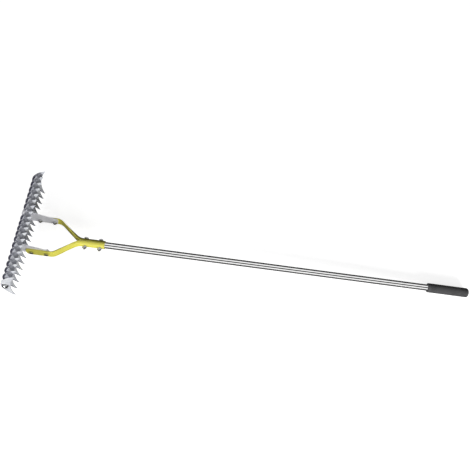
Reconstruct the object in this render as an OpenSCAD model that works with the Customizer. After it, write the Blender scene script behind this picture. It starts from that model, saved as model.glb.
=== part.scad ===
// Thatch rake: nineteen crescent blades on a threaded rod, held by two
// brackets and two arms on a long steel handle with a rubber grip. Each arm
// is a formed sheet: half a pipe round the tube, opening into a flat front.
// It lies on the ground on its lower blade tips and the end of its grip.
// The modules are drawn in the handle's frame: the handle runs along Y from
// the rear end of the clamp, X runs along the head and Z is up. on_ground()
// then tips and lifts everything onto the ground, centred on the origin.

/* [Handle] */
// Outside diameter of the handle tube
tube_d = 22; // [19:0.5:26]
// Wall of the handle tube
tube_wall = 1.2; // [0.8:0.1:2.5]
// Length of the tube in sight between the clamp and the grip
tube_free_l = 1116; // [700:1:1400]
// Length of the tube inside the clamp
tube_clamp_l = 84; // [78:1:86]

/* [Grip] */
// Outside diameter of the grip
grip_d = 32; // [29:0.5:38]
// Overall length of the grip
grip_l = 143; // [110:1:180]
// Thickness of the grip's closed end
grip_end_t = 8; // [5:0.5:12]
// Radius of the rounded rim of the closed end
grip_end_r = 7; // [3:0.5:9]
// Radius of the rounded rim of the open end
grip_mouth_r = 2; // [1:0.5:3]
// Number of grooves in the band at each end of the grip
groove_n = 5; // [2:1:7]
// Distance from groove to groove
groove_pitch = 4; // [3:0.5:5]
// Depth of each groove
groove_depth = 0.8; // [0.4:0.1:1.2]
// Width of each groove
groove_w = 1.6; // [1:0.1:2]
// Plain rubber between each end of the grip and its first groove
groove_inset = 10; // [9:0.5:14]

/* [Blades] */
// Number of blades on the rod
blade_n = 19; // [15:2:19]
// Thickness of a blade
blade_t = 2.5; // [1.5:0.1:4]
// Length of a blade from tip to tip
blade_span = 150; // [130:1:165]
// Width of a blade at its middle
blade_w = 31; // [28:0.5:34]
// Radius of the outer, cutting edge
blade_edge_r = 88.5; // [86:0.5:92]
// Width of the ground bevel along the cutting edge
grind_w = 4; // [1:0.5:6]
// Thickness left at the cutting edge
edge_t = 0.8; // [0.4:0.1:1.2]
// Width of a blade's blunt tip
tip_w = 3; // [2:0.5:5]
// Forward tilt of the blades against the handle
blade_tilt = 10; // [0:1:15]

/* [Rod and spacers] */
// Diameter of the rod
rod_d = 10; // [8:0.5:12]
// Outside diameter of the spacer tubes
spacer_d = 18; // [16:0.5:22]
// Length of a spacer outside the brackets
long_spacer_l = 20; // [15:0.1:24]
// Length of a spacer between the brackets
short_spacer_l = 17.3; // [15:0.1:22]
// Distance from the arms' front ends forward to the rod
rod_gap = 27; // [24:1:36]
// Height of the rod above the handle's axis
rod_rise = 27; // [20:1:30]
// Thickness of the washer at each end of the rod
rod_washer_t = 2; // [1:0.1:3]
// Outside diameter of the rod's washers
rod_washer_d = 21; // [20:0.5:26]
// Height of the nut at each end of the rod
rod_nut_h = 6; // [5:0.5:9]
// Width across the flats of the rod's nuts
rod_nut_af = 17; // [16:0.5:19]
// Rod end that stands out of each nut
rod_end_l = 2; // [1:0.5:6]

/* [Brackets] */
// Thickness of a bracket plate
bracket_t = 3; // [2:0.5:4]
// Number of short spacers between the middle blade and a bracket
short_n = 3; // [2:1:4]
// Width of a bracket at its front edge
bracket_front_w = 60; // [50:1:66]
// Width of a bracket at its rear end
bracket_rear_w = 31; // [28:1:38]
// Length of a bracket in front of the rod
bracket_nose_l = 13; // [11:0.5:14]
// Distance from a bracket's rear bolt to its rear edge
bracket_end_l = 10.2; // [9.5:0.1:16]
// Radius of a bracket's corners
bracket_corner_r = 7; // [2:0.5:10]
// Distance from an arm's front end back to its front bolt
bracket_bolt_inset = 18; // [16:0.5:22]
// Distance between the two bolts of a bracket
bracket_bolt_pitch = 49; // [40:1:52]

/* [Arms] */
// Thickness of the arms' sheet
arm_t = 3; // [2:0.5:4]
// Height of an arm where it lies flat on its bracket
arm_front_h = 36; // [30:0.5:40]
// Height of the middle of that flat front above the tube's axis
arm_rise = 8; // [4:0.5:11]
// Length of the flat front ahead of the front bend
arm_leg_l = 78; // [76:1:84]
// Distance from an arm's rear end to the middle of its rear bend
clamp_l = 86.5; // [86:0.5:94]
// Angle of an arm between its two bends
spread_deg = 34.5; // [30:0.5:40]
// Radius of an arm's bends at the middle of the sheet
bend_r = 35; // [24:1:36]
// Radius of an arm's front corners
arm_front_r = 12; // [4:0.5:14]
// Space between the edges of the two arms along the tube
arm_edge_gap = 1.5; // [1:0.1:3]

/* [Bolts] */
// Diameter of the bolts
bolt_d = 8; // [6:0.5:8]
// Width across the flats of heads and nuts
bolt_af = 13; // [12:0.5:14]
// Height of a bolt head
head_h = 5.3; // [4:0.1:6]
// Height of a nut
nut_h = 6.5; // [5:0.1:7]
// Bolt end that stands out of each bracket nut
bracket_bolt_end = 3; // [1:0.5:6]
// Bolt end that stands out of each clamp nut
clamp_bolt_end = 4; // [1:0.5:8]
// Distance from the clamp's rear end to the first clamp bolt
clamp_bolt_y = 16; // [12:0.5:20]
// Distance between the two clamp bolts
clamp_bolt_pitch = 50; // [44:0.5:54]

/* [Fits] */
// Gap round a rod or bolt in its hole
hole_gap = 0.3; // [0.1:0.05:0.5]
// Gap round a rod or bolt in its nut
nut_gap = 0.1; // [0.05:0.05:0.2]
// Gap between the tube and what is round it
tube_gap = 0.15; // [0.05:0.05:0.3]

/* [Hidden] */
$fn = 96;
// A cut goes this far past the face that it opens
past = 1;

function numbered(name, i) = str(name, i < 10 ? "_0" : "_", i);

// Crescent: the outer arc and the inner arc meet the blunt tips. Each sag is
// how far the ends of an arc lie behind its middle.
half_span = blade_span / 2;
edge_sag = blade_edge_r - sqrt(blade_edge_r ^ 2 - half_span ^ 2);
hollow_sag = edge_sag + tip_w - blade_w;
hollow_r = (half_span ^ 2 + hollow_sag ^ 2) / (2 * hollow_sag);
edge_centre = blade_edge_r - blade_w / 2;

// Places along the rod, counted outward from the middle blade. A bracket
// stands against the outer end of the last short spacer.
middle = (blade_n + 1) / 2;
short_pitch = blade_t + short_spacer_l;
long_pitch = blade_t + long_spacer_l;
bracket_x = short_n * short_pitch - blade_t / 2;
function blade_x(k) = k < short_n ? k * short_pitch
    : short_n * short_pitch + bracket_t + (k - short_n) * long_pitch;
function spacer_l(k) = k < short_n ? short_spacer_l : long_spacer_l;
head_half = blade_x(middle - 1) + blade_t / 2;
nut_x = head_half + rod_washer_t;
rod_half = nut_x + rod_nut_h + rod_end_l;

// Middle line of an arm: straight along the tube, a bend outward, a
// diagonal, the same bend back and a straight front along the bracket. The
// rod and the bracket bolts are placed from the arm's front end.
arm_in_x = tube_d / 2 + tube_gap;
arm_out_x = arm_in_x + arm_t;
arm_rear_x = arm_in_x + arm_t / 2;
arm_front_x = bracket_x + bracket_t + arm_t / 2;
bend_tangent = bend_r * tan(spread_deg / 2);
rear_bend_y = clamp_l - bend_tangent;
front_bend_y = clamp_l + (arm_front_x - arm_rear_x) / tan(spread_deg) + bend_tangent;
arm_l = front_bend_y + arm_leg_l;
rod_reach = arm_l + rod_gap;
rear_bolt_y = arm_l - bracket_bolt_inset - bracket_bolt_pitch;
bracket_tail_l = (rod_reach - rear_bolt_y) * cos(blade_tilt)
    + (rod_rise - arm_rise) * sin(blade_tilt) + bracket_end_l;

// Section of an arm: an arc over half the tube at the rear, whose edges keep
// the space between the arms, and a straight line at the front.
clamp_half_deg = acos(arm_edge_gap / 2 / arm_rear_x);
clamp_arc_l = 2 * arm_rear_x * clamp_half_deg * PI / 180;
bend_steps = 10;
diagonal_steps = 8;
section_steps = 18;

// Lay: the lowest blade tips and the grip's rim come to one level. The turn
// is worked out from the tip's corner and the middle of the rim's round.
tip_back = edge_sag + tip_w - blade_w / 2;
tip_y = -rod_reach + tip_back * cos(blade_tilt) - half_span * sin(blade_tilt);
tip_z = rod_rise - tip_back * sin(blade_tilt) - half_span * cos(blade_tilt);
rim_y = tube_free_l + grip_l - grip_end_r;
rim_z = grip_end_r - grip_d / 2;
lay_run = rim_y - tip_y;
lay_fall = tip_z - rim_z;
lay_deg = asin(grip_end_r / norm([lay_run, lay_fall])) + atan(lay_fall / lay_run);
lift = -(tip_y * sin(lay_deg) + tip_z * cos(lay_deg));
front_y = (edge_centre * cos(blade_tilt) - rod_reach) * cos(lay_deg)
    - (rod_rise - edge_centre * sin(blade_tilt)) * sin(lay_deg) - blade_edge_r;
rear_y = rim_y * cos(lay_deg) + rim_z * sin(lay_deg) + grip_end_r;

// Places the handle's frame on the ground, centred over the origin.
module on_ground() {
    translate([0, -(front_y + rear_y) / 2, lift])
        rotate([lay_deg, 0, 0]) children();
}

// The rod's frame: X along the rod, Y along a blade's middle line to the
// handle, Z towards the blade's upper tip.
module at_rod() {
    translate([0, -rod_reach, rod_rise])
        rotate([-blade_tilt, 0, 0]) children();
}

// A round bar along X from x, centred on the axis.
module bar_x(d, x, l) {
    translate([x, 0, 0]) rotate([0, 90, 0]) cylinder(d = d, h = l);
}

// A six-sided bar along X from x, measured across its flats.
module hex_x(af, x, l) {
    translate([x, 0, 0]) rotate([0, 90, 0])
        cylinder(d = af / cos(30), h = l, $fn = 6);
}

// A nut along X from x, with its bore.
module nut_x(d, af, x, h) {
    difference() {
        hex_x(af, x, h);
        bar_x(d + 2 * nut_gap, x - past, h + 2 * past);
    }
}

// Repeats a thing at both bolts of a bracket, on the arm's middle line.
module at_bracket_bolts() {
    for (i = [0, 1])
        translate([0, -rear_bolt_y - i * bracket_bolt_pitch, arm_rise]) children();
}

// Repeats a thing at both clamp bolts, on the tube's axis.
module at_clamp_bolts() {
    for (i = [0, 1])
        translate([0, -clamp_bolt_y - i * clamp_bolt_pitch, 0]) children();
}

// A disc on the X axis whose rim is ground to a thin edge on both sides.
module ground_disc() {
    rotate([0, 90, 0]) rotate_extrude() polygon([
        [0, -blade_t / 2], [blade_edge_r - grind_w, -blade_t / 2],
        [blade_edge_r, -edge_t / 2], [blade_edge_r, edge_t / 2],
        [blade_edge_r - grind_w, blade_t / 2], [0, blade_t / 2]]);
}

// One crescent blade: a ground disc cut by the inner arc and by the blunt
// ends of the tips, with the rod's hole in its middle.
module crescent() {
    difference() {
        intersection() {
            translate([0, edge_centre, 0]) ground_disc();
            translate([-blade_t, -blade_w, -half_span])
                cube([2 * blade_t, blade_w + edge_sag + tip_w, blade_span]);
        }
        translate([0, hollow_r + blade_w / 2, 0])
            bar_x(2 * hollow_r, -blade_t, 2 * blade_t);
        bar_x(rod_d + 2 * hole_gap, -blade_t, 2 * blade_t);
    }
}

// Blade i, counted from the near end of the rod.
module blade(i) {
    k = middle - i;
    color("lightsteelblue") on_ground() at_rod()
        translate([sign(k) * blade_x(abs(k)), 0, 0]) crescent();
}

// Spacer i, between blades i and i + 1.
module spacer(i) {
    k = i < middle ? middle - 1 - i : i - middle;
    x = blade_x(k) + blade_t / 2;
    side = i < middle ? 0 : 1;
    color("silver") on_ground() at_rod() mirror([side, 0, 0]) difference() {
        bar_x(spacer_d, x, spacer_l(k));
        bar_x(rod_d + 2 * hole_gap, x - past, spacer_l(k) + 2 * past);
    }
}

module tie_rod() {
    color("silver") on_ground() at_rod()
        bar_x(rod_d, -rod_half, 2 * rod_half);
}

module rod_washers() {
    color("gainsboro") on_ground() at_rod()
        for (side = [0, 1]) mirror([side, 0, 0]) difference() {
            bar_x(rod_washer_d, head_half, rod_washer_t);
            bar_x(rod_d + 2 * hole_gap, head_half - past, rod_washer_t + 2 * past);
        }
}

module rod_nuts() {
    color("silver") on_ground() at_rod()
        for (side = [0, 1]) mirror([side, 0, 0])
            nut_x(rod_d, rod_nut_af, nut_x, rod_nut_h);
}

// Outline of a bracket in the rod's frame, seen along X: a tapered plate
// whose four corners are round, drawn as circles and their tangents.
module bracket_outline() {
    r = bracket_corner_r;
    front = [-bracket_nose_l + r, bracket_front_w / 2 - r];
    rear = [bracket_tail_l - r, bracket_rear_w / 2 - r];
    slope = atan((front.y - rear.y) / (rear.x - front.x));
    edge = r * [sin(slope), cos(slope)];
    for (c = [front, rear], s = [-1, 1])
        translate([c.x, s * c.y]) circle(r);
    polygon([
        [front.x - r, -front.y], front + [0, -2 * front.y] + [edge.x, -edge.y],
        rear + [0, -2 * rear.y] + [edge.x, -edge.y], [rear.x + r, -rear.y],
        [rear.x + r, rear.y], rear + edge, front + edge, [front.x - r, front.y]]);
}

// The near bracket: the plate with the rod's hole and two bolt holes.
module bracket() {
    difference() {
        at_rod() difference() {
            translate([bracket_x, 0, 0]) rotate([90, 0, 90])
                linear_extrude(bracket_t) bracket_outline();
            bar_x(rod_d + 2 * hole_gap, bracket_x - past, bracket_t + 2 * past);
        }
        at_bracket_bolts()
            bar_x(bolt_d + 2 * hole_gap, bracket_x - past, bracket_t + 2 * past);
    }
}

module near_bracket() {
    color("silver") on_ground() bracket();
}

module far_bracket() {
    color("silver") on_ground() mirror([1, 0, 0]) bracket();
}

// Places along an arm's middle line: x, y and heading away from the tube's
// line, at both ends and at even steps through the bends and the diagonal.
function rear_bend(a) = [arm_rear_x + bend_r * (1 - cos(a)), -rear_bend_y - bend_r * sin(a), a];
function front_bend(a) = [arm_front_x - bend_r * (1 - cos(a)), bend_r * sin(a) - front_bend_y, a];
arm_places = concat(
    [[arm_rear_x, 0, 0]],
    [for (i = [0:bend_steps]) rear_bend(spread_deg * i / bend_steps)],
    [for (i = [1:diagonal_steps - 1]) let (t = i / diagonal_steps)
        (1 - t) * rear_bend(spread_deg) + t * front_bend(spread_deg)],
    [for (i = [bend_steps:-1:0]) front_bend(spread_deg * i / bend_steps)],
    [[arm_front_x, -arm_l, 0]]);

// How far an arm has opened at y: 0 round the tube, 1 on the bracket.
function opened(y) = min(1, max(0, (-y - rear_bend_y) / (front_bend_y - rear_bend_y)));

// A point of an arm's section: q goes from the lower edge, -1, to the upper
// edge, 1, and off is its distance from the middle of the sheet.
function section_point(place, q, off) = let (
        u = opened(place.y),
        half_l = (clamp_arc_l + (arm_front_h - clamp_arc_l) * u) / 2,
        turn = clamp_half_deg * (1 - u) ^ 1.5,
        r = u < 1 ? half_l / (turn * PI / 180) : 0,
        out = u < 1 ? (r + off) * cos(turn * q) - r : off,
        up = u < 1 ? (r + off) * sin(turn * q) : half_l * q)
    [place.x + out * cos(place.z), place.y + out * sin(place.z), arm_rise * u + up];

// Two triangles for four corners that go clockwise seen from outside.
function two(a, b, c, d) = [[a, b, c], [a, c, d]];

// The formed sheet of the near arm: at each place one row of points on its
// outer face and one on its inner face, both from the lower edge up.
module arm_sheet() {
    n = section_steps + 1;
    last = len(arm_places) - 1;
    points = [for (place = arm_places, off = [arm_t / 2, -arm_t / 2], j = [0:section_steps])
        section_point(place, 2 * j / section_steps - 1, off)];
    faces = concat(
        [for (k = [0:last - 1], j = [0:n - 2]) let (a = 2 * n * k + j, b = a + 2 * n)
            each concat(two(a, b, b + 1, a + 1),
                two(a + n, a + n + 1, b + n + 1, b + n))],
        [for (k = [0:last - 1]) let (a = 2 * n * k, b = a + 2 * n)
            each concat(two(a, a + n, b + n, b),
                two(a + 2 * n - 1, a + n - 1, b + n - 1, b + 2 * n - 1))],
        [for (j = [0:n - 2]) let (b = 2 * n * last + j)
            each concat(two(j, j + 1, j + n + 1, j + n),
                two(b, b + n, b + n + 1, b + 1))]);
    polyhedron(points, faces);
}

// Side of an arm's front end, with its two round corners.
module arm_side() {
    r = arm_front_r;
    for (s = [-1, 1])
        translate([r - arm_l, arm_rise + s * (arm_front_h / 2 - r)]) circle(r);
    translate([-arm_l, arm_rise + r - arm_front_h / 2])
        square([arm_l, arm_front_h - 2 * r]);
    translate([r - arm_l, -arm_front_h])
        square([arm_l + past - r, 2 * arm_front_h]);
}

// The near arm: the sheet cut to its round front corners, with its holes.
module arm() {
    hole_d = bolt_d + 2 * hole_gap;
    difference() {
        intersection() {
            arm_sheet();
            rotate([90, 0, 90]) linear_extrude(arm_front_x + arm_t) arm_side();
        }
        at_bracket_bolts() bar_x(hole_d, arm_front_x - arm_t, 2 * arm_t);
        at_clamp_bolts() bar_x(hole_d, 0, arm_out_x + past);
    }
}

module near_arm() {
    color("gold") on_ground() arm();
}

module far_arm() {
    color("gold") on_ground() mirror([1, 0, 0]) arm();
}

// Bolts with their heads on the outside of the arms.
module bracket_bolts() {
    head_x = arm_front_x + arm_t / 2;
    end_x = bracket_x - nut_h - bracket_bolt_end;
    color("silver") on_ground()
        for (side = [0, 1]) mirror([side, 0, 0]) at_bracket_bolts() {
            hex_x(bolt_af, head_x, head_h);
            bar_x(bolt_d, end_x, head_x - end_x);
        }
}

module bracket_nuts() {
    color("silver") on_ground()
        for (side = [0, 1]) mirror([side, 0, 0]) at_bracket_bolts()
            nut_x(bolt_d, bolt_af, bracket_x - nut_h, nut_h);
}

// Bolts with their heads on the far arm and their nuts on the near arm.
module clamp_bolts() {
    color("silver") on_ground() at_clamp_bolts() {
        hex_x(bolt_af, -arm_out_x - head_h, head_h);
        bar_x(bolt_d, -arm_out_x, 2 * arm_out_x + nut_h + clamp_bolt_end);
    }
}

module clamp_nuts() {
    color("silver") on_ground() at_clamp_bolts()
        nut_x(bolt_d, bolt_af, arm_out_x, nut_h);
}

// The tube runs from the clamp into the grip, as far as the closed end.
module handle_tube() {
    tube_l = tube_clamp_l + tube_free_l + grip_l - grip_end_t - tube_gap;
    color("lightgray") on_ground() difference() {
        translate([0, -tube_clamp_l, 0]) rotate([-90, 0, 0]) difference() {
            cylinder(d = tube_d, h = tube_l);
            translate([0, 0, -past])
                cylinder(d = tube_d - 2 * tube_wall, h = tube_l + 2 * past);
        }
        at_clamp_bolts()
            bar_x(bolt_d + 2 * hole_gap, -tube_d, 2 * tube_d);
    }
}

// Half section of the grip, from its mouth up to its closed end.
module grip_section() {
    r = grip_d / 2;
    mouth = grip_mouth_r;
    rim = grip_end_r;
    difference() {
        union() {
            square([r - mouth, grip_l / 2]);
            square([r - rim, grip_l]);
            translate([0, mouth]) square([r, grip_l - mouth - rim]);
            translate([r - mouth, mouth]) circle(mouth);
            translate([r - rim, grip_l - rim]) circle(rim);
        }
        translate([-past, -past])
            square([past + tube_d / 2 + tube_gap, past + grip_l - grip_end_t]);
        for (i = [0:groove_n - 1])
            for (y = [groove_inset + i * groove_pitch,
                    grip_l - groove_inset - i * groove_pitch - groove_w])
                translate([r - groove_depth, y]) square([past + groove_depth, groove_w]);
    }
}

module grip() {
    color("dimgray") on_ground()
        translate([0, tube_free_l, 0]) rotate([-90, 0, 0])
            rotate_extrude() grip_section();
}

for (i = [1:blade_n])
    blade(i);
for (i = [1:blade_n - 1])
    spacer(i);
tie_rod();
rod_washers();
rod_nuts();
near_bracket();
far_bracket();
near_arm();
far_arm();
bracket_bolts();
bracket_nuts();
clamp_bolts();
clamp_nuts();
handle_tube();
grip();
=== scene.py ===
"""Looks of a thatch rake: nineteen steel crescents on a rod, two yellow arms and a long
steel handle."""
import math

import bpy
from bpy.props import FloatProperty, FloatVectorProperty, PointerProperty
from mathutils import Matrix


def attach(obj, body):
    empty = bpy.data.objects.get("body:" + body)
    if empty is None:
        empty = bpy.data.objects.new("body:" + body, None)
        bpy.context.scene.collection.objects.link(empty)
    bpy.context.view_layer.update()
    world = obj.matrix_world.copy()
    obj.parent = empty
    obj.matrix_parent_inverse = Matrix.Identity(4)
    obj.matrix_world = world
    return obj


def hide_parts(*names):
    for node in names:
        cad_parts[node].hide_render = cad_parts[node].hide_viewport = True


bl_info = {
    "name": "Thatch rake",
    "version": (1, 0, 0),
    "blender": (4, 5, 0),
    "location": "3D View > Sidebar > Rake",
    "description": "Finishes and stages a long-handled thatch rake with crescent blades",
    "category": "Object",
}

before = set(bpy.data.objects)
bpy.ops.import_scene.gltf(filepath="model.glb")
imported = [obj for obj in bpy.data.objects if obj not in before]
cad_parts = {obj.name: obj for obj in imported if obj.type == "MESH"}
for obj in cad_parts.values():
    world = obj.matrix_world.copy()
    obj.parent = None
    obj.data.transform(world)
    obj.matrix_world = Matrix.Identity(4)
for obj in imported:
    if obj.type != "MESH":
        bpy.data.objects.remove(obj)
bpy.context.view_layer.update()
BLADES = sorted(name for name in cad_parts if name.startswith("blade_"))
SPACERS = sorted(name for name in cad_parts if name.startswith("spacer_"))

# Grey of the studio by height, from the horizon on the camera's side, 0, over the top, 0.5, to
# the far horizon, 1. Polished metal mirrors the first, with the dark round the camera and the
# dark behind the tool, and the second lights the tool.
MIRRORED_SKY = ((0.0, 1.0), (0.235, 1.0), (0.25, 0.02), (0.44, 0.02),
                (0.455, 1.0), (0.68, 1.0), (0.71, 0.04), (1.0, 0.02))
LIGHTING_SKY = ((0.0, 0.4), (0.3, 0.4), (0.42, 0.12), (0.55, 0.02), (1.0, 0.02))
WHITE_AHEAD = (-0.45, -0.65)  # Y of a direction where the studio turns white ahead of the blades
FLOOR_LIFT = 0.8  # light that the floor adds where it is seen or mirrored
CARD_SPOT = (0, -0.1, 0.001)  # middle of the grey card under the tool
CARD_SIZE = (1.6, 2.4)
CARD_SHADE = 0.15  # its grey, as a share of the floor's
LAMP_SIZE = 0.8
# Lamps: name, place, turn about X, Y and Z in degrees, share of the power, mirrored or not
LAMPS = (("key_light", (2.6, -2.2, 0.75), (32.3, 74.9, 0), 1.0, True),
         ("fill_light", (2.1, 1.4, 0.85), (-35.4, 69.1, 0), 0.9, False))


# Properties that a user would change

class SteelProperties(bpy.types.PropertyGroup):
    """Colours of the bright metal pieces"""

    blade: FloatVectorProperty(
        name="Blades", description="Colour of the rolled steel blades",
        subtype="COLOR", size=3, min=0, max=1, default=(0.86, 0.88, 0.97))
    # The Ground edges colour is painted shade: the dark rim along the outer edges of the blades
    # that stand behind another blade.
    edge: FloatVectorProperty(
        name="Ground edges", description="Colour of the blades' ground rims",
        subtype="COLOR", size=3, min=0, max=1, default=(0.10, 0.10, 0.14))
    # The spacer colour is near-black, darker than bare steel, and stands in partly for the shade
    # between the blades around the spacers.
    spacer: FloatVectorProperty(
        name="Spacers", description="Colour of the spacer tubes",
        subtype="COLOR", size=3, min=0, max=1, default=(0.14, 0.14, 0.19))
    plating: FloatVectorProperty(
        name="Zinc", description="Colour of the zinc plated rod, nuts and bolts",
        subtype="COLOR", size=3, min=0, max=1, default=(0.62, 0.62, 0.62))
    bracket: FloatVectorProperty(
        name="Brackets", description="Colour of the bracket plates",
        subtype="COLOR", size=3, min=0, max=1, default=(0.86, 0.86, 0.90))
    tube: FloatVectorProperty(
        name="Tube", description="Colour of the polished handle tube",
        subtype="COLOR", size=3, min=0, max=1, default=(0.92, 0.92, 0.92))
    tube_roughness: FloatProperty(
        name="Tube roughness", description="Roughness of the polished handle tube",
        min=0, max=1, default=0.05)


class PaintProperties(bpy.types.PropertyGroup):
    """Colours of the painted arms and the rubber grip"""

    yellow: FloatVectorProperty(
        name="Arms", description="Colour of the powder coat on the arms",
        subtype="COLOR", size=3, min=0, max=1, default=(0.72, 0.67, 0.10))
    rubber: FloatVectorProperty(
        name="Grip", description="Colour of the rubber grip",
        subtype="COLOR", size=3, min=0, max=1, default=(0.062, 0.062, 0.064))


class StageProperties(bpy.types.PropertyGroup):
    """Camera, floor and lights"""

    eye: FloatVectorProperty(
        name="Camera", description="Place of the camera",
        subtype="TRANSLATION", unit="LENGTH", size=3, default=(0.9106, -0.0912, 1.9223))
    aim: FloatVectorProperty(
        name="Camera turn", description="Turn of the camera about X, Y and Z, in degrees",
        size=3, default=(28.012, -4.27, 95.623))
    lens: FloatProperty(
        name="Lens", description="Focal length on a 36 mm square frame, in millimetres",
        min=10, max=200, default=46.95)
    floor_size: FloatProperty(
        name="Floor", description="Side of the square floor",
        unit="LENGTH", min=4, max=60, default=30)
    floor_colour: FloatVectorProperty(
        name="Floor colour", description="Colour of the plain floor",
        subtype="COLOR", size=3, min=0, max=1, default=(0.93, 0.93, 0.93))
    key_power: FloatProperty(
        name="Key light", description="Power of the large soft light",
        unit="POWER", min=0, max=500, default=56)
    sky: FloatProperty(
        name="Studio", description="Strength of the light that comes from all round",
        min=0, max=3, default=1.0)


# Painted shade on the blades, in metres
ARC_MIDDLE = (0, -0.6866, 0.0649)  # of the blades' outer edges
ARC_REACH = 0.0845  # radius of those edges
SHADE_RIM_FADE = (0.0034, 0.0026)  # from the edge inwards: where the painted dark rim ends and is full
SHADE_RIM_HEIGHT = (0.066, 0.046)  # above or below the middle: the painted rim is gone, and full
PAINTED_SHADE_SPOT = (0, -0.739, 0.110)  # middle of the dark patch of painted shade on the blades' faces, where the shade between the blades falls
PAINTED_SHADE_WEIGHTS = (0, 1 / 0.011, 1 / 0.045)  # one over its half length along each axis
PAINTED_SHADE_FADE = (1.08, 0.85)  # where it ends and is full, in half lengths

# Grain of the metals: lines per metre along the axes, and how rough and how mirroring they are
BLADE_GRAIN, BLADE_ROUGHNESS, BLADE_MIRROR = (200, 40, 900), 0.22, 0.35
MARK_GRAIN = (3000, 250, 250)
SPACER_GRAIN, SPACER_ROUGHNESS = (900, 60, 60), 0.16
ZINC_GRAIN, ZINC_ROUGHNESS = (300, 300, 300), 0.16
BRACKET_GRAIN, BRACKET_ROUGHNESS, BRACKET_MIRROR = (300, 30, 500), 0.38, 0.25
TUBE_GRAIN, TUBE_CONTRAST, TUBE_RELIEF = (900, 8, 900), 0.04, 0.05


# Materials

def new_surface(name):
    """A fresh material: its node tree, its shader and its Object coordinates."""
    material = bpy.data.materials.new(name)
    material.use_nodes = True
    tree = material.node_tree
    shader = tree.nodes["Principled BSDF"]
    place = tree.nodes.new("ShaderNodeTexCoord").outputs["Object"]
    return material, tree, shader, place


def maths(tree, operation, *values):
    """Arithmetic on outputs of nodes and on numbers."""
    node = tree.nodes.new("ShaderNodeMath")
    node.operation = operation
    for entry, value in zip(node.inputs, values):
        if isinstance(value, (int, float)):
            entry.default_value = value
        else:
            tree.links.new(value, entry)
    return node.outputs[0]


def stretched(tree, place, scale):
    """Coordinates stretched along the axes, so that noise becomes grain."""
    mapping = tree.nodes.new("ShaderNodeMapping")
    mapping.inputs["Scale"].default_value = scale
    tree.links.new(place, mapping.inputs["Vector"])
    return mapping.outputs["Vector"]


def noise(tree, where, scale, detail=3.0, roughness=0.55):
    """Grey noise of a given fineness."""
    node = tree.nodes.new("ShaderNodeTexNoise")
    node.inputs["Scale"].default_value = scale
    node.inputs["Detail"].default_value = detail
    node.inputs["Roughness"].default_value = roughness
    tree.links.new(where, node.inputs["Vector"])
    return node.outputs["Fac"]


def spread(tree, value, low, high):
    """Noise brought to a range, its middle part stretched over the whole of it."""
    node = tree.nodes.new("ShaderNodeMapRange")
    node.inputs["From Min"].default_value = 0.3
    node.inputs["From Max"].default_value = 0.7
    node.inputs["To Min"].default_value = low
    node.inputs["To Max"].default_value = high
    tree.links.new(value, node.inputs["Value"])
    return node.outputs["Result"]


def shaded(tree, value, dark, light):
    """A colour that runs from dark to light with the noise."""
    node = tree.nodes.new("ShaderNodeMix")
    node.data_type = "RGBA"
    node.inputs[6].default_value = (*dark, 1)
    node.inputs[7].default_value = (*light, 1)
    tree.links.new(value, node.inputs["Factor"])
    return node.outputs[2]


def bumped(tree, shader, height, strength, distance):
    """Relief from noise, its distance in metres."""
    node = tree.nodes.new("ShaderNodeBump")
    node.inputs["Strength"].default_value = strength
    node.inputs["Distance"].default_value = distance
    tree.links.new(height, node.inputs["Height"])
    tree.links.new(node.outputs["Normal"], shader.inputs["Normal"])


def scaled(colour, factor):
    """A colour made darker or lighter."""
    return tuple(min(1.0, channel * factor) for channel in colour)


def metal(name, colour, grain, rough, contrast=0.12, relief=0.15, mirror=1.0):
    """Bare metal with a rolled or drawn grain, slightly uneven in tone and gloss."""
    material, tree, shader, place = new_surface(name)
    shader.inputs["Metallic"].default_value = mirror
    lines = noise(tree, stretched(tree, place, grain), 1.0, 4.0)
    cloud = noise(tree, place, 45.0, 2.0)
    tree.links.new(
        shaded(tree, spread(tree, cloud, 0.0, 1.0),
               scaled(colour, 1 - contrast), scaled(colour, 1 + contrast)),
        shader.inputs["Base Color"])
    tree.links.new(spread(tree, lines, rough * 0.8, rough * 1.25), shader.inputs["Roughness"])
    bumped(tree, shader, lines, relief, 0.0001)
    return material


def away_from(tree, place, spot, weights=(0, 1, 1)):
    """Distance from a spot, with each axis weighted."""
    apart = tree.nodes.new("ShaderNodeVectorMath")
    apart.operation = "SUBTRACT"
    apart.inputs[1].default_value = spot
    tree.links.new(place, apart.inputs[0])
    weighted = tree.nodes.new("ShaderNodeVectorMath")
    weighted.operation = "MULTIPLY"
    weighted.inputs[1].default_value = weights
    tree.links.new(apart.outputs[0], weighted.inputs[0])
    length = tree.nodes.new("ShaderNodeVectorMath")
    length.operation = "LENGTH"
    tree.links.new(weighted.outputs[0], length.inputs[0])
    return length.outputs["Value"]


def faded(tree, value, none, full):
    """Share that grows from 0 to 1 between two values."""
    node = tree.nodes.new("ShaderNodeMapRange")
    node.inputs["From Min"].default_value = none
    node.inputs["From Max"].default_value = full
    tree.links.new(value, node.inputs["Value"])
    return node.outputs["Result"]


def blended(tree, share, under, over):
    """One colour laid over another by a share."""
    node = tree.nodes.new("ShaderNodeMix")
    node.data_type = "RGBA"
    tree.links.new(share, node.inputs["Factor"])
    tree.links.new(under, node.inputs[6])
    tree.links.new(over, node.inputs[7])
    return node.outputs[2]


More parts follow.
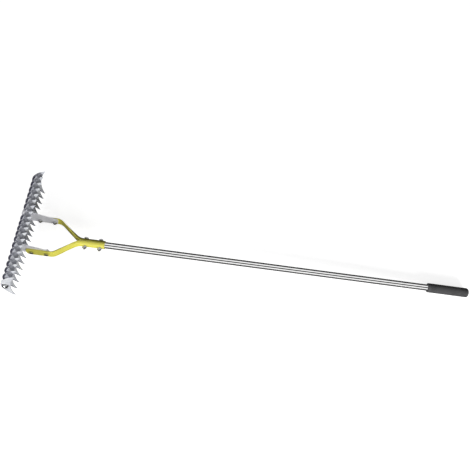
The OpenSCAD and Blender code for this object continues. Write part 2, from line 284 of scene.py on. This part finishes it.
def blade_with_painted_shade(name, colour, edge):
    """Rolled steel with painted shade streaked across the edge: a dark patch amid the faces, where
    the shade between the blades falls, and a dark rim along the outer edge, where the blade in
    front shades it.
    """
    material = metal(name, colour, BLADE_GRAIN, BLADE_ROUGHNESS, mirror=BLADE_MIRROR)
    tree = material.node_tree
    shader = tree.nodes["Principled BSDF"]
    place = tree.nodes["Texture Coordinate"].outputs["Object"]
    marks = spread(tree, noise(tree, stretched(tree, place, MARK_GRAIN), 1.0, 2.0), 0.0, 1.0)
    # Painted shade: a dark patch amid each face, where the shade between the blades falls, streaked
    # by the marks.
    scale = faded(tree, away_from(tree, place, PAINTED_SHADE_SPOT, PAINTED_SHADE_WEIGHTS), *PAINTED_SHADE_FADE)
    steel = blended(tree, scale, shader.inputs["Base Color"].links[0].from_socket,
                    shaded(tree, marks, scaled(colour, 0.32), scaled(colour, 0.46)))
    # Painted shade: a dark rim along each outer edge, where the blade in front shades it.
    shade_rim = faded(tree, away_from(tree, place, ARC_MIDDLE), *(ARC_REACH - deep for deep in SHADE_RIM_FADE))
    front = faded(tree, away_from(tree, place, ARC_MIDDLE, (0, 0, 1)), *SHADE_RIM_HEIGHT)
    tree.links.new(
        blended(tree, maths(tree, "MULTIPLY", shade_rim, front), steel,
                shaded(tree, marks, scaled(edge, 0.8), scaled(edge, 1.3))),
        shader.inputs["Base Color"])
    return material


def powder_coat(name, colour):
    """Glossy powder coat with a fine orange peel."""
    material, tree, shader, place = new_surface(name)
    cloud = noise(tree, place, 30.0, 2.0)
    tree.links.new(
        shaded(tree, spread(tree, cloud, 0.0, 1.0), scaled(colour, 0.95), scaled(colour, 1.04)),
        shader.inputs["Base Color"])
    tree.links.new(spread(tree, noise(tree, place, 160.0), 0.28, 0.36), shader.inputs["Roughness"])
    shader.inputs["Coat Weight"].default_value = 0.4
    shader.inputs["Coat Roughness"].default_value = 0.12
    bumped(tree, shader, noise(tree, place, 700.0, 1.0), 0.12, 0.0002)
    return material


def matt_rubber(name, colour):
    """Moulded rubber with a fine sandy grain and worn paler patches."""
    material, tree, shader, place = new_surface(name)
    cloud = noise(tree, place, 26.0, 4.0)
    tree.links.new(
        shaded(tree, spread(tree, cloud, 0.0, 1.0), scaled(colour, 0.8), scaled(colour, 1.25)),
        shader.inputs["Base Color"])
    tree.links.new(spread(tree, cloud, 0.66, 0.8), shader.inputs["Roughness"])
    bumped(tree, shader, noise(tree, place, 900.0, 2.0), 0.35, 0.0003)
    return material


def dress(names, material):
    """Gives CAD nodes one finish."""
    for name in names:
        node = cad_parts[name]
        node.data.materials.clear()
        node.data.materials.append(material)


# Shapes of the fasteners, all turned about lines along X

MM = 0.001
NUT_TILT = -11.36  # turn of the rod's frame about X, in degrees
BOLT_TILT = -1.36  # turn of the handle's frame about X, in degrees
HEAD_H = 5.3  # height of a bolt head, in millimetres
ROD_D, BOLT_D, NUT_PLAY = 10, 8, 0.2  # rod, bolts and the play of a nut on them, in millimetres
ROD_PITCH, BOLT_PITCH = 1.5, 1.25  # of their threads, in millimetres
ROD_THREAD, BOLT_THREAD = 12, 11  # lengths of the threaded ends, in millimetres


def flats_share(tilt):
    """Width across the flats of a tilted hexagon, as a share of its box along Y."""
    wide = max(abs(math.cos(math.radians(30 + 60 * i + tilt))) for i in range(6))
    return math.cos(math.pi / 6) / wide


NUT_SHARE = {tilt: flats_share(tilt) for tilt in (NUT_TILT, BOLT_TILT)}


def solids_of(name):
    """Low and high corners of the loose solids of a CAD node, in order of place."""
    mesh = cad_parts[name].data
    spots = [tuple(round(c, 6) for c in v.co) for v in mesh.vertices]
    owner = {spot: spot for spot in spots}

    def head(spot):
        while owner[spot] != spot:
            spot = owner[spot]
        return spot

    for edge in mesh.edges:
        a, b = (head(spots[i]) for i in edge.vertices)
        owner[a] = b
    groups = {}
    for spot in owner:
        groups.setdefault(head(spot), []).append(spot)
    return sorted(
        (tuple(map(min, zip(*group))), tuple(map(max, zip(*group)))) for group in groups.values())


def middle(low, high):
    """Y and Z of the line that a solid lies on."""
    return (low[1] + high[1]) / 2, (low[2] + high[2]) / 2


def turned(profile, spot, sides=48):
    """A solid turned about the line along X through spot: profile lists x and radius."""
    (x, r), rest = profile[0], profile[1:]
    bpy.ops.object.select_all(action="DESELECT")
    bpy.ops.mesh.primitive_circle_add(
        vertices=sides, radius=r, fill_type="NGON", location=(x, *spot),
        rotation=(0, math.pi / 2, 0))
    bpy.ops.object.transform_apply(location=True, rotation=True, scale=True)
    bpy.ops.object.mode_set(mode="EDIT")
    bpy.ops.mesh.select_all(action="SELECT")
    for next_x, next_r in rest:
        bpy.ops.mesh.extrude_region_move(TRANSFORM_OT_translate={"value": (next_x - x, 0, 0)})
        bpy.ops.transform.resize(value=(1, next_r / r, next_r / r), center_override=(next_x, *spot))
        x, r = next_x, next_r
    bpy.ops.mesh.select_all(action="SELECT")
    bpy.ops.mesh.normals_make_consistent(inside=False)
    bpy.ops.object.mode_set(mode="OBJECT")
    return bpy.context.object


def prism(x0, x1, flats, spot, tilt):
    """A six-sided bar from x0 to x1 with a corner on top, turned about X by tilt."""
    bpy.ops.object.select_all(action="DESELECT")
    bpy.ops.mesh.primitive_cylinder_add(
        vertices=6, radius=flats / 2 / math.cos(math.pi / 6), depth=x1 - x0,
        location=((x0 + x1) / 2, *spot), rotation=(0, math.pi / 2, 0))
    bpy.ops.object.transform_apply(location=True, rotation=True, scale=True)
    bpy.ops.object.mode_set(mode="EDIT")
    bpy.ops.mesh.select_all(action="SELECT")
    bpy.ops.transform.rotate(
        value=math.radians(30 + tilt), orient_axis="X", center_override=((x0 + x1) / 2, *spot))
    bpy.ops.object.mode_set(mode="OBJECT")
    return bpy.context.object


def combined(piece, tool, operation):
    """Applies a Boolean of one solid with another and removes the other."""
    bpy.ops.object.select_all(action="DESELECT")
    bpy.context.view_layer.objects.active = piece
    piece.select_set(True)
    cut = piece.modifiers.new("cut", "BOOLEAN")
    cut.operation = operation
    cut.solver = "EXACT"
    cut.object = tool
    bpy.ops.object.modifier_apply(modifier="cut")
    bpy.data.objects.remove(tool)
    return piece


def chamfered(x0, x1, flats, both):
    """Profile whose ends, or only the end at x1, cut a prism's corners off at 30 degrees."""
    face, corner = 0.47 * flats, 0.6 * flats
    fall = math.copysign((corner - face) * math.tan(math.pi / 6), x1 - x0)
    front = [(x1 - fall, corner), (x1, face)]
    return ([(x0, face), (x0 + fall, corner)] if both else [(x0, corner)]) + front


def nut(x0, x1, flats, hole, spot, tilt):
    """A hex nut: its corners rounded off at both ends and its bore countersunk."""
    piece = combined(
        prism(x0, x1, flats, spot, tilt), turned(chamfered(x0, x1, flats, True), spot), "INTERSECT")
    lip = 0.09 * hole
    bore = [(x0 - lip, hole / 2 + 2 * lip), (x0 + lip, hole / 2), (x1 - lip, hole / 2),
            (x1 + lip, hole / 2 + 2 * lip)]
    return combined(piece, turned(bore, spot), "DIFFERENCE")


def thread(x0, x1, d, pitch):
    """Profile of a threaded end from x0 to its tip at x1: ridges, then a chamfer."""
    step = math.copysign(pitch / 2, x1 - x0)
    turns = int(abs(x1 - x0) / pitch)
    low = d / 2 - 0.45 * pitch
    ridges = [(x0 + i * step, d / 2 if i % 2 else low) for i in range(1, 2 * turns)]
    return ridges + [(x1, low)]


def bolt(seat, tip, top, flats, d, pitch, spot, tilt):
    """A hex bolt: head from its seat to its top, washer face, shank and threaded end."""
    face = math.copysign(0.4 * MM, top - seat)
    head = combined(
        prism(*sorted((seat + face, top)), flats, spot, tilt),
        turned(chamfered(seat + face, top, flats, False), spot), "INTERSECT")
    collar = turned([(seat, 0.45 * flats), (seat + 2 * face, 0.45 * flats)], spot)
    start = tip - math.copysign(BOLT_THREAD * MM, tip - seat)
    shank = turned([(seat, d / 2), (start, d / 2)] + thread(start, tip, d, pitch), spot, 32)
    return [head, collar, shank]


def joined(parts, name, node, paint):
    """One smooth-shaded piece made of parts, in place of a CAD node."""
    bpy.ops.object.select_all(action="DESELECT")
    for part in parts:
        part.select_set(True)
    bpy.context.view_layer.objects.active = parts[0]
    if len(parts) > 1:
        bpy.ops.object.join()
    piece = bpy.context.object
    piece.name = name
    bpy.ops.object.shade_smooth_by_angle(angle=math.radians(30))
    piece.data.materials.clear()
    piece.data.materials.append(paint)
    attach(piece, "root")
    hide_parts(node)
    return piece


# Operators, one for each group of pieces

class RAKE_OT_blades(bpy.types.Operator):
    """Finishes the crescent blades"""

    bl_idname = "rake.blades"
    bl_label = "Blades"

    def execute(self, context):
        steel = context.scene.rake_steel
        # Lit and shaded copies of one steel: the blades behind the first carry painted shade from
        # their neighbours, while the end blade in the open stays plain.
        dress(BLADES[1:], blade_with_painted_shade("blade_steel", steel.blade, steel.edge))
        dress(BLADES[:1], metal(
            "end_blade_steel", steel.blade, BLADE_GRAIN, BLADE_ROUGHNESS, mirror=BLADE_MIRROR))
        return {"FINISHED"}


class RAKE_OT_spacers(bpy.types.Operator):
    """Finishes the spacer tubes"""

    bl_idname = "rake.spacers"
    bl_label = "Spacers"

    def execute(self, context):
        steel = context.scene.rake_steel
        dress(SPACERS, metal("spacer_steel", steel.spacer, SPACER_GRAIN, SPACER_ROUGHNESS))
        return {"FINISHED"}


class RAKE_OT_fasteners(bpy.types.Operator):
    """Makes the rod, nuts and bolts with their threads and chamfers"""

    bl_idname = "rake.fasteners"
    bl_label = "Fasteners"

    def execute(self, context):
        steel = context.scene.rake_steel
        zinc = metal("zinc_plating", steel.plating, ZINC_GRAIN, ZINC_ROUGHNESS)
        dress(["rod_washers"], zinc)
        self.rod(zinc)
        for name, d, tilt in (("rod_nuts", ROD_D, NUT_TILT), ("bracket_nuts", BOLT_D, BOLT_TILT),
                              ("clamp_nuts", BOLT_D, BOLT_TILT)):
            parts = []
            for low, high in solids_of(name):
                flats = (high[1] - low[1]) * NUT_SHARE[tilt]
                parts.append(
                    nut(low[0], high[0], flats, (d + NUT_PLAY) * MM, middle(low, high), tilt))
            joined(parts, name + "_turned", name, zinc)
        for name in ("bracket_bolts", "clamp_bolts"):
            parts = []
            for low, high in solids_of(name):
                parts += self.hex_bolt(low, high)
            joined(parts, name + "_turned", name, zinc)
        return {"FINISHED"}

    def rod(self, zinc):
        """The long rod with a threaded end in each nut."""
        low, high = solids_of("tie_rod")[0]
        spot, reach, d = middle(low, high), ROD_THREAD * MM, ROD_D * MM
        ends = [thread(x, x + way * reach, d, ROD_PITCH * MM)
                for x, way in ((low[0] + reach, -1), (high[0] - reach, 1))]
        profile = ends[0][::-1] + [(low[0] + reach, d / 2), (high[0] - reach, d / 2)] + ends[1]
        joined([turned(profile, spot)], "tie_rod_turned", "tie_rod", zinc)

    def hex_bolt(self, low, high):
        """A bolt in the box of its CAD solid, its head at the end that lies further out."""
        head = HEAD_H * MM
        out = 1 if abs(high[0]) > abs(low[0]) and high[0] * low[0] > 0 else -1
        top, tip = (high[0], low[0]) if out > 0 else (low[0], high[0])
        flats = (high[1] - low[1]) * NUT_SHARE[BOLT_TILT]
        return bolt(top - out * head, tip, top, flats, BOLT_D * MM, BOLT_PITCH * MM,
                    middle(low, high), BOLT_TILT)


class RAKE_OT_brackets(bpy.types.Operator):
    """Finishes the bracket plates"""

    bl_idname = "rake.brackets"
    bl_label = "Brackets"

    def execute(self, context):
        steel = context.scene.rake_steel
        sheet = metal("bracket_steel", steel.bracket, BRACKET_GRAIN, BRACKET_ROUGHNESS,
                      mirror=BRACKET_MIRROR)
        dress(["near_bracket", "far_bracket"], sheet)
        return {"FINISHED"}


class RAKE_OT_arms(bpy.types.Operator):
    """Finishes the bent arms"""

    bl_idname = "rake.arms"
    bl_label = "Arms"

    def execute(self, context):
        dress(["near_arm", "far_arm"], powder_coat("yellow_paint", context.scene.rake_paint.yellow))
        return {"FINISHED"}


class RAKE_OT_handle(bpy.types.Operator):
    """Finishes the handle tube"""

    bl_idname = "rake.handle"
    bl_label = "Handle"

    def execute(self, context):
        steel = context.scene.rake_steel
        dress(["handle_tube"], metal(
            "tube_steel", steel.tube, TUBE_GRAIN, steel.tube_roughness, TUBE_CONTRAST, TUBE_RELIEF))
        return {"FINISHED"}


class RAKE_OT_grip(bpy.types.Operator):
    """Finishes the rubber grip"""

    bl_idname = "rake.grip"
    bl_label = "Grip"

    def execute(self, context):
        dress(["grip"], matt_rubber("grip_rubber", context.scene.rake_paint.rubber))
        return {"FINISHED"}


class RAKE_OT_stage(bpy.types.Operator):
    """Sets up the floor, the lights, the world and the camera"""

    bl_idname = "rake.stage"
    bl_label = "Stage"

    def execute(self, context):
        look = context.scene.rake_stage
        bpy.ops.object.select_all(action="DESELECT")
        bpy.ops.mesh.primitive_plane_add(size=look.floor_size)
        floor = context.object
        floor.name = "floor"
        floor.data.materials.append(self.floor_paint(look))
        self.flag(look)
        self.sky(context)
        for name, place, turn, share, mirrored in LAMPS:
            bpy.ops.object.light_add(
                type="AREA", location=place, rotation=[math.radians(a) for a in turn])
            lamp = context.object
            lamp.name = name
            lamp.data.size = LAMP_SIZE
            lamp.data.energy = look.key_power * share
            lamp.visible_glossy = mirrored
        bpy.ops.object.camera_add(location=look.eye, rotation=[math.radians(a) for a in look.aim])
        camera = context.object
        camera.name = "camera"
        camera.data.sensor_width = 36
        camera.data.sensor_fit = "HORIZONTAL"
        camera.data.lens = look.lens
        camera.data.clip_end = 100
        context.scene.camera = camera
        context.scene.view_settings.view_transform = "Standard"
        return {"FINISHED"}

    def floor_paint(self, look):
        """Matt pale floor that fades to white in the picture and keeps the shadow."""
        material, tree, shader, _ = new_surface("floor_paint")
        shader.inputs["Base Color"].default_value = (*look.floor_colour, 1)
        shader.inputs["Roughness"].default_value = 1.0
        shader.inputs["Specular IOR Level"].default_value = 0.0
        rays = tree.nodes.new("ShaderNodeLightPath").outputs
        seen = rays["Is Camera Ray"]
        for kind in ("Is Glossy Ray", "Is Transmission Ray"):
            seen = maths(tree, "MAXIMUM", seen, rays[kind])
        shader.inputs["Emission Color"].default_value = (1, 1, 1, 1)
        tree.links.new(
            maths(tree, "MULTIPLY", seen, FLOOR_LIFT), shader.inputs["Emission Strength"])
        return material

    def flag(self, look):
        """Grey card under the tool that only mirror images show. It draws the dark lines
        along the tube's edges, as the black flags of a photographer do."""
        bpy.ops.object.select_all(action="DESELECT")
        bpy.ops.mesh.primitive_plane_add(size=1, location=CARD_SPOT)
        bpy.ops.transform.resize(value=(*CARD_SIZE, 1))
        bpy.ops.object.transform_apply(location=True, rotation=True, scale=True)
        card = bpy.context.object
        card.name = "flag_card"
        material, _, shader, _ = new_surface("flag_felt")
        shader.inputs["Base Color"].default_value = (*scaled(look.floor_colour, CARD_SHADE), 1)
        shader.inputs["Roughness"].default_value = 1.0
        shader.inputs["Specular IOR Level"].default_value = 0.0
        card.data.materials.append(material)
        card.visible_camera = card.visible_diffuse = card.visible_shadow = False
        card.visible_transmission = False

    def ramp(self, tree, value, sky):
        """Colours of the studio along a ramp of places and greys."""
        node = tree.nodes.new("ShaderNodeValToRGB")
        spots = node.color_ramp.elements
        for place, _ in sky[2:]:
            spots.new(place)
        # Places first and greys after them, because the ramp sorts its spots by place
        for spot, (place, _) in zip(spots, sky):
            spot.position = place
        for spot, (_, grey) in zip(spots, sky):
            spot.color = (grey, grey, grey, 1)
        tree.links.new(value, node.inputs["Fac"])
        return node.outputs["Color"]

    def sky(self, context):
        """Studio that looks white and lights softly. Polished metal mirrors it white as well, with
        the dark round the camera and behind the tool, but all white ahead of the blades."""
        world = bpy.data.worlds.new("studio")
        world.use_nodes = True
        context.scene.world = world
        tree = world.node_tree
        toward = tree.nodes.new("ShaderNodeSeparateXYZ")
        tree.links.new(tree.nodes.new("ShaderNodeTexCoord").outputs["Generated"], toward.inputs[0])
        turn = maths(tree, "ARCTAN2", toward.outputs["Z"], toward.outputs["X"])
        height = maths(tree, "DIVIDE", turn, math.pi)
        mirrored = self.ramp(tree, height, MIRRORED_SKY)
        lighting = self.ramp(tree, height, LIGHTING_SKY)
        ahead = faded(tree, toward.outputs["Y"], *WHITE_AHEAD)
        white = tree.nodes.new("ShaderNodeRGB")
        white.outputs[0].default_value = (1, 1, 1, 1)
        lit = blended(tree, ahead, mirrored, white.outputs[0])
        rays = tree.nodes.new("ShaderNodeLightPath")
        seen = blended(tree, rays.outputs["Is Glossy Ray"], lighting, lit)
        back = tree.nodes["Background"]
        for kind in ("Is Camera Ray", "Is Transmission Ray"):
            seen = blended(tree, rays.outputs[kind], seen, white.outputs[0])
        tree.links.new(seen, back.inputs["Color"])
        back.inputs["Strength"].default_value = context.scene.rake_stage.sky


PIECES = (RAKE_OT_blades, RAKE_OT_spacers, RAKE_OT_fasteners, RAKE_OT_brackets,
          RAKE_OT_arms, RAKE_OT_handle, RAKE_OT_grip, RAKE_OT_stage)


class RAKE_PT_panel(bpy.types.Panel):
    """Lists the pieces and their colours"""

    bl_idname = "RAKE_PT_panel"
    bl_label = "Thatch rake"
    bl_space_type = "VIEW_3D"
    bl_region_type = "UI"
    bl_category = "Rake"

    def draw(self, context):
        for group in (context.scene.rake_steel, context.scene.rake_paint, context.scene.rake_stage):
            for name in group.__annotations__:
                self.layout.prop(group, name)
        for piece in PIECES:
            self.layout.operator(piece.bl_idname)


CLASSES = (SteelProperties, PaintProperties, StageProperties, *PIECES, RAKE_PT_panel)


def register():
    for cls in CLASSES:
        bpy.utils.register_class(cls)
    bpy.types.Scene.rake_steel = PointerProperty(type=SteelProperties)
    bpy.types.Scene.rake_paint = PointerProperty(type=PaintProperties)
    bpy.types.Scene.rake_stage = PointerProperty(type=StageProperties)


def unregister():
    del bpy.types.Scene.rake_stage
    del bpy.types.Scene.rake_paint
    del bpy.types.Scene.rake_steel
    for cls in reversed(CLASSES):
        bpy.utils.unregister_class(cls)


def main():
    register()
    bpy.ops.rake.blades()
    bpy.ops.rake.spacers()
    bpy.ops.rake.fasteners()
    bpy.ops.rake.brackets()
    bpy.ops.rake.arms()
    bpy.ops.rake.handle()
    bpy.ops.rake.grip()
    bpy.ops.rake.stage()


if __name__ == "__main__":
    main()
